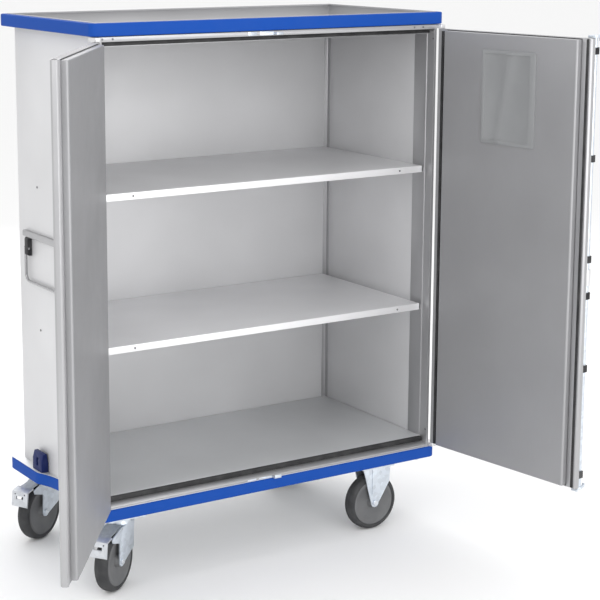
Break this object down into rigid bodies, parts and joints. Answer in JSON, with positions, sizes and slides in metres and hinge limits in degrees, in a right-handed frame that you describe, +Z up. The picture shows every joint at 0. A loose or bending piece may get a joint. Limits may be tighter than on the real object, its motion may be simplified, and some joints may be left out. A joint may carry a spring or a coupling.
{
  "type": "mobile supply cabinet",
  "caption": "Tall aluminium hospital supply cabinet on casters, with hinged doors, shelves, blue bumpers, roof gallery, rod lock and a folding push handle.",
  "frame": {"origin": "on the floor under the middle of the bumper footprint", "axes": "+X to the right facing the doors, +Y to the back, +Z up"},
  "size_m": [1.8582, 1.3497, 1.83],
  "materials": {
    "galvanised_frame": "dull galvanised",
    "deck_sheet": "satin",
    "bumper_blue": "satin moulded edge",
    "zinc_bolts": "bright zinc",
    "roof_sheet": "satin anodised",
    "wall_sheet": "satin anodised",
    "floor_sheet": "satin anodised",
    "frame_profile": "fine brushed extrusion",
    "black_seal": "matt",
    "shelf_sheet": "satin anodised",
    "steel_screws": "dark zinc",
    "zinc_steel": "blue zinc",
    "hinge_alloy": "cast, satin",
    "steel_pins": "ground",
    "black_plastic": "moulded",
    "navy_plastic": "moulded",
    "door_sheet": "satin anodised",
    "door_pan_sheet": "satin anodised",
    "holder_plastic": "smooth",
    "handle_steel": "polished round bar",
    "pedal_steel": "pressed zinc plate",
    "rim_plastic": "moulded grey",
    "tyre_rubber": "solid grey-black rubber"
  },
  "bodies": {
    "carcass": {"platform_frame": "galvanised_frame", "deck_plate": "deck_sheet", "base_bumper": "bumper_blue", "top_bumper": "bumper_blue", "chassis_bolts": "zinc_bolts", "roof_tray": "roof_sheet", "right_side_wall": "wall_sheet", "left_side_wall": "wall_sheet", "back_wall": "wall_sheet", "floor_panel": "floor_sheet", "front_posts": "frame_profile", "rear_corner_profiles": "frame_profile", "header_rail": "frame_profile", "sill_rail": "frame_profile", "frame_seals": "black_seal", "upper_shelf": "shelf_sheet", "lower_shelf": "shelf_sheet", "shelf_brackets": "frame_profile", "frame_screws": "steel_screws", "lock_keepers": "zinc_steel", "hinge_blocks": "hinge_alloy", "hinge_pins": "steel_pins", "handle_mount_bar": "frame_profile", "handle_pivot_blocks": "black_plastic", "door_retainers": "navy_plastic", "caster_plates": "zinc_steel", "fixed_caster_forks": "zinc_steel", "fixed_caster_axles": "zinc_bolts"},
    "left_door": {"left_door_skin": "door_sheet", "left_door_pan": "door_pan_sheet", "left_door_stile": "frame_profile", "left_door_hinge_seal": "black_seal", "left_door_bushes": "black_plastic"},
    "right_door": {"right_door_skin": "door_sheet", "right_door_pan": "door_pan_sheet", "right_door_stile": "frame_profile", "right_door_hinge_seal": "black_seal", "right_door_bushes": "black_plastic", "right_door_closing_seal": "black_seal", "document_holder": "holder_plastic", "lock_guides": "black_plastic", "lever_catch": "black_plastic"},
    "door_lock": {"lock_rod": "zinc_steel", "lock_hooks": "zinc_steel", "lock_lever": "hinge_alloy"},
    "push_handle": {"bail_handle": "handle_steel"},
    "front_swivel": {"front_swivel_fork": "zinc_steel", "front_swivel_axle": "zinc_bolts"},
    "front_brake": {"front_brake_pedal": "pedal_steel"},
    "front_swivel_wheel": {"front_swivel_rim": "rim_plastic", "front_swivel_tyre": "tyre_rubber"},
    "front_fixed_wheel": {"front_fixed_rim": "rim_plastic", "front_fixed_tyre": "tyre_rubber"},
    "rear_swivel": {"rear_swivel_fork": "zinc_steel", "rear_swivel_axle": "zinc_bolts"},
    "rear_brake": {"rear_brake_pedal": "pedal_steel"},
    "rear_swivel_wheel": {"rear_swivel_rim": "rim_plastic", "rear_swivel_tyre": "tyre_rubber"},
    "rear_fixed_wheel": {"rear_fixed_rim": "rim_plastic", "rear_fixed_tyre": "tyre_rubber"}
  },
  "joints": [
    {"name": "left_door_hinge", "type": "hinge", "parent": "carcass", "child": "left_door", "pos_m": [-0.66, -0.35, 1.036], "axis": [0, 0, -1], "range_deg": [-126.6, 139.9]},
    {"name": "right_door_hinge", "type": "hinge", "parent": "carcass", "child": "right_door", "pos_m": [0.66, -0.35, 1.036], "axis": [0, 0, 1], "range_deg": [-97.6, 168.9]},
    {"name": "lock_turn", "type": "hinge", "parent": "right_door", "child": "door_lock", "pos_m": [0.77167, -0.98279, 1.003], "axis": [0, 0, 1], "range_deg": [-100, 0]},
    {"name": "push_handle_fold", "type": "hinge", "parent": "carcass", "child": "push_handle", "pos_m": [-0.647, 0, 1.046], "axis": [0, -1, 0], "range_deg": [-88, 0]},
    {"name": "front_caster_swivel", "type": "hinge", "parent": "carcass", "child": "front_swivel", "pos_m": [-0.562, -0.277, 0.2], "axis": [0, 0, 1], "continuous": true},
    {"name": "front_swivel_wheel_spin", "type": "hinge", "parent": "front_swivel", "child": "front_swivel_wheel", "pos_m": [-0.60623, -0.30797, 0.1], "axis": [-0.5736, 0.8192, 0], "continuous": true},
    {"name": "front_brake_tilt", "type": "hinge", "parent": "front_swivel", "child": "front_brake", "pos_m": [-0.60132, -0.30453, 0.208], "axis": [-0.5736, 0.8192, 0], "range_deg": [0, 12]},
    {"name": "front_fixed_wheel_spin", "type": "hinge", "parent": "carcass", "child": "front_fixed_wheel", "pos_m": [0.438, -0.277, 0.1], "axis": [0, 1, 0], "continuous": true},
    {"name": "rear_caster_swivel", "type": "hinge", "parent": "carcass", "child": "rear_swivel", "pos_m": [-0.562, 0.277, 0.2], "axis": [0, 0, 1], "continuous": true},
    {"name": "rear_swivel_wheel_spin", "type": "hinge", "parent": "rear_swivel", "child": "rear_swivel_wheel", "pos_m": [-0.6099, 0.25207, 0.1], "axis": [-0.4617, 0.887, 0], "continuous": true},
    {"name": "rear_brake_tilt", "type": "hinge", "parent": "rear_swivel", "child": "rear_brake", "pos_m": [-0.60458, 0.25484, 0.208], "axis": [-0.4617, 0.887, 0], "range_deg": [0, 12]},
    {"name": "rear_fixed_wheel_spin", "type": "hinge", "parent": "carcass", "child": "rear_fixed_wheel", "pos_m": [0.438, 0.277, 0.1], "axis": [0, 1, 0], "continuous": true}
  ]
}
